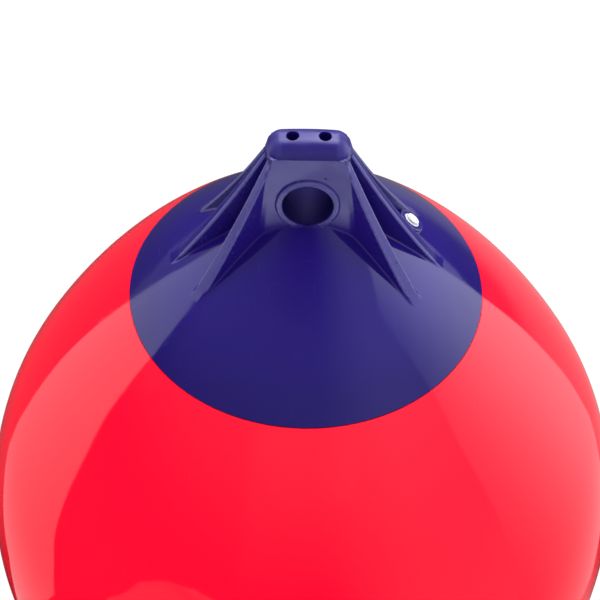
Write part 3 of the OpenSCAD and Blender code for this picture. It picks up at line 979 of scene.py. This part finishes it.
class BUOY_OT_studio(Operator):
    """Sets the camera, the lamps and the white floor at the water's surface."""

    bl_idname = "buoy.studio"
    bl_label = "Studio"

    def execute(self, context):
        look = context.scene.buoy_studio
        context.scene.view_settings.view_transform = "Standard"
        self.camera(context, look)
        self.floor(look)
        self.panels(look)
        self.fill(look)
        self.world(context)
        return {"FINISHED"}

    def camera(self, context, look):
        """Camera at the photograph's angle."""
        data = bpy.data.cameras.new("camera")
        data.lens = look.lens
        data.sensor_width = 36
        camera = bpy.data.objects.new("camera", data)
        context.scene.collection.objects.link(camera)
        away = Vector(look.camera_place) - Vector(look.camera_aim)
        turn = away.to_track_quat("Z", "Y").to_matrix().to_4x4()
        roll = Matrix.Rotation(look.camera_roll, 4, "Z")
        camera.matrix_world = Matrix.Translation(look.camera_place) @ turn @ roll
        context.scene.camera = camera

    def floor(self, look):
        """White floor that keeps the buoy's shadow."""
        floor = new_mesh_object("floor", lying(FLOOR_CORNERS, 0), (), [(0, 1, 2, 3)])
        material = bpy.data.materials.new("floor_white")
        material.use_nodes = True
        tree = material.node_tree
        paint = tree.nodes["Principled BSDF"]
        paint.inputs["Base Color"].default_value = (*look.floor_colour, 1)
        paint.inputs["Roughness"].default_value = 0.8
        glow = tree.nodes.new("ShaderNodeEmission")
        path = tree.nodes.new("ShaderNodeLightPath")
        seen = maths(tree, "ADD", path.outputs["Is Camera Ray"], path.outputs["Is Glossy Ray"])
        seen = maths(tree, "ADD", seen, path.outputs["Is Transmission Ray"])
        share = maths(tree, "MULTIPLY", seen, FLOOR_GLOW)
        mix = add_node(tree, "ShaderNodeMixShader", {0: share, 1: paint.outputs[0], 2: glow.outputs[0]})
        tree.links.new(mix.outputs[0], tree.nodes["Material Output"].inputs["Surface"])
        floor.data.materials.append(material)

    def panels(self, look):
        """White panels at both sides that run on along the floor, cards in front and behind, and the dark card."""
        left = [
            (0.182, 0.004), (0.202, 0.12), (0.22, 0.22), (0.225, 0.35), (0.232, 0.466), (0.245, 0.6),
            (0.05, 0.575), (0.01, 0.54), (-0.03, 0.455), (-0.052, 0.338), (-0.08, 0.262), (-0.105, 0.175),
            (-0.135, 0.09), (-0.145, 0.004)]
        left_foot = [
            (-0.45, 0.192), (-0.45, -0.145), (-0.385, -0.115), (-0.32, -0.09), (-0.24, -0.06), (-0.24, -0.03),
            (-0.313, 0.006), (-0.331, 0.033), (-0.388, 0.11), (-0.412, 0.145)]
        right = [
            (0.255, 0.004), (0.268, 0.08), (0.272, 0.2), (0.277, 0.312), (0.295, 0.39), (0.31, 0.47), (0.32, 0.72),
            (-0.173, 0.72), (-0.178, 0.53), (-0.205, 0.4), (-0.209, 0.25), (-0.232, 0.15), (-0.235, 0.004)]
        right_foot = [
            (0.45, 0.255), (0.414, 0.192), (0.36, 0.1), (0.3, 0.0), (0.29, -0.06), (0.33, -0.12), (0.39, -0.19),
            (0.45, -0.24)]
        front = [(-0.45, -0.8), (0.55, -0.8), (0.55, -0.46), (-0.45, -0.46)]
        far = [(-0.83, -0.5), (-2.03, -1.52), (-5.4, -5.2), (-2.6, -5.4), (-1.6, -2.4), (-0.8, -0.8)]
        wall = [(-5.4, 0.0), (0.2, 0.0), (-0.1, 0.5), (-1.35, 0.5), (-2.1, 0.31), (-3.9, 0.31), (-5.4, 0.1)]
        back = [(-0.5, 0.2, 1.9), (0.5, 0.2, 1.9), (0.5, 1.15, 1.35), (-0.5, 1.15, 1.35)]
        self.panel("left_panel", [(-PANEL_X, y, z) for y, z in left], look.left_strength)
        self.panel("right_panel", [(PANEL_X, y, z) for y, z in right], look.right_strength, RIGHT_FADE)
        self.panel("left_foot", lying(left_foot), look.left_strength)
        self.panel("right_foot", lying(right_foot), look.right_strength, RIGHT_FADE)
        self.panel("back_card", back, look.back_strength)
        self.panel("front_card", lying(front), look.front_strength / FLOOR_SHARE)
        self.panel("far_card", lying(far), FAR_STRENGTH / FLOOR_SHARE)
        self.panel("wall_card", [(x, WALL_Y, z) for x, z in wall], WALL_STRENGTH)
        dark = self.card("dark_card", lying(FLOOR_CORNERS, DARK_CARD_HEIGHT), self.dark_level)
        dark.visible_diffuse = False
        dark.visible_transmission = False

    def panel(self, name, corners, strength, soft=None):
        """Card that is dimmer towards the floor and, on a given way along Y, towards the front."""
        def level(tree, place_at):
            spot = add_node(tree, "ShaderNodeSeparateXYZ", {0: place_at}).outputs
            upright = ramp(tree, spot[2], 0.0, PANEL_RISE, FLOOR_SHARE * strength, strength)
            if not soft:
                return upright
            return maths(tree, "MULTIPLY", upright, ramp(tree, spot[1], *soft, FADE_SHARE, 1.0))

        return self.card(name, corners, level)

    def dark_level(self, tree, place_at):
        """Brightness of the dark card: a little at the front right, behind, and near the buoy at the back right."""
        unit = add_node(tree, "ShaderNodeVectorMath", {0: place_at}, operation="NORMALIZE")
        aside = add_node(tree, "ShaderNodeSeparateXYZ", {0: unit.outputs[0]}).outputs
        right = ramp(tree, aside[0], 0.1, 0.7, 0.0, 0.35)
        level = maths(tree, "MULTIPLY", right, ramp(tree, aside[1], -0.2, 0.2, 1.0, 0.0))
        level = maths(tree, "ADD", level, ramp(tree, aside[1], 0.0, 0.4, 0.02, 0.09))
        away = add_node(tree, "ShaderNodeVectorMath", {0: place_at}, operation="LENGTH").outputs["Value"]
        near = maths(tree, "MULTIPLY", ramp(tree, away, 0.8, 1.5, 0.22, 0.0), ramp(tree, aside[0], -0.1, 0.5))
        return maths(tree, "ADD", level, maths(tree, "MULTIPLY", near, ramp(tree, aside[1], 0.1, 0.5)))

    def card(self, name, corners, level):
        """Flat shining card, with its brightness from a function of its place, that the camera doesn't see."""
        card = new_mesh_object(name, corners, (), [tuple(range(len(corners)))])
        material = bpy.data.materials.new(name)
        material.use_nodes = True
        tree = material.node_tree
        tree.nodes.remove(tree.nodes["Principled BSDF"])
        place_at = tree.nodes.new("ShaderNodeTexCoord").outputs["Object"]
        glow = add_node(tree, "ShaderNodeEmission", {"Strength": level(tree, place_at)})
        tree.links.new(glow.outputs[0], tree.nodes["Material Output"].inputs["Surface"])
        card.data.materials.append(material)
        card.visible_camera = False
        card.visible_shadow = False
        return card

    def fill(self, look):
        """Soft lamps above, behind, in front and at both sides that leave no mirror image."""
        self.soft_lamp("top_fill", (0, -0.7, 2.4), (2.0, 1.6), look.fill_power)
        self.soft_lamp("back_fill", (0, 1.7, 1.5), (2.0, 1.0), look.back_power)
        self.soft_lamp("front_fill", (0, -1.6, 0.9), (1.4, 0.9), look.front_power)
        self.soft_lamp("left_fill", (-1.5, 0.2, 1.1), (1.0, 1.0), look.side_power)
        self.soft_lamp("right_fill", (1.5, 0.2, 1.1), (1.0, 1.0), look.side_power)

    def soft_lamp(self, name, spot, size, power):
        """Flat lamp that shines at the buoy's middle and that neither camera nor mirror images show."""
        data = bpy.data.lights.new(name, "AREA")
        data.shape = "RECTANGLE"
        data.size, data.size_y = size
        data.energy = power
        lamp = bpy.data.objects.new(name, data)
        bpy.context.scene.collection.objects.link(lamp)
        away = Vector(spot) - LAMP_AIM
        lamp.matrix_world = Matrix.Translation(spot) @ away.to_track_quat("Z", "Y").to_matrix().to_4x4()
        lamp.visible_camera = False
        lamp.visible_glossy = False

    def world(self, context):
        """Dim room, brighter at half height, behind the buoy and to its right."""
        world = bpy.data.worlds.new("studio")
        context.scene.world = world
        world.use_nodes = True
        tree = world.node_tree
        sky = tree.nodes["Background"]
        sky.inputs["Strength"].default_value = 1.0
        all_round = tree.nodes.new("ShaderNodeTexCoord").outputs["Generated"]
        towards = add_node(tree, "ShaderNodeSeparateXYZ", {0: all_round}).outputs
        rising = ramp(tree, towards[2], 0.05, 0.6, 0.02, 0.28)
        level = maths(tree, "MULTIPLY", rising, ramp(tree, towards[2], 0.7, 0.93, 1.0, 0.08))
        behind = ramp(tree, towards[1], 0.2, 0.6)
        high = ramp(tree, towards[2], 0.0, 0.6, 0.32, 0.8)
        share = maths(tree, "MULTIPLY", behind, maths(tree, "SUBTRACT", high, level))
        right = ramp(tree, towards[0], 0.1, 0.7, 0.0, 0.35)
        right = maths(tree, "MULTIPLY", right, ramp(tree, towards[1], 0.0, 0.5, 1.0, 1.3))
        tree.links.new(maths(tree, "ADD", maths(tree, "ADD", level, share), right), sky.inputs["Color"])


class BUOY_PT_panel(Panel):
    """Lists the steps in the order in which they are made."""

    bl_idname = "BUOY_PT_panel"
    bl_label = "Mooring buoy"
    bl_space_type = "VIEW_3D"
    bl_region_type = "UI"
    bl_category = "Buoy"

    def draw(self, context):
        for step in STEPS:
            self.layout.operator(step.bl_idname)


SETTINGS = {
    "buoy_shape": BuoyShape,
    "buoy_envelope": EnvelopeLook,
    "buoy_rope_hold": RopeHoldLook,
    "buoy_valve": ValveLook,
    "buoy_studio": StudioLook,
}
STEPS = (BUOY_OT_studio, BUOY_OT_envelope, BUOY_OT_rope_hold, BUOY_OT_valve)


def register():
    for kind in (*SETTINGS.values(), *STEPS, BUOY_PT_panel):
        bpy.utils.register_class(kind)
    for name, kind in SETTINGS.items():
        setattr(bpy.types.Scene, name, PointerProperty(type=kind))


def unregister():
    for name in SETTINGS:
        delattr(bpy.types.Scene, name)
    for kind in reversed((*SETTINGS.values(), *STEPS, BUOY_PT_panel)):
        bpy.utils.unregister_class(kind)


def main():
    register()
    bpy.ops.buoy.studio()
    bpy.ops.buoy.envelope()
    bpy.ops.buoy.rope_hold()
    bpy.ops.buoy.valve()


if __name__ == "__main__":
    main()
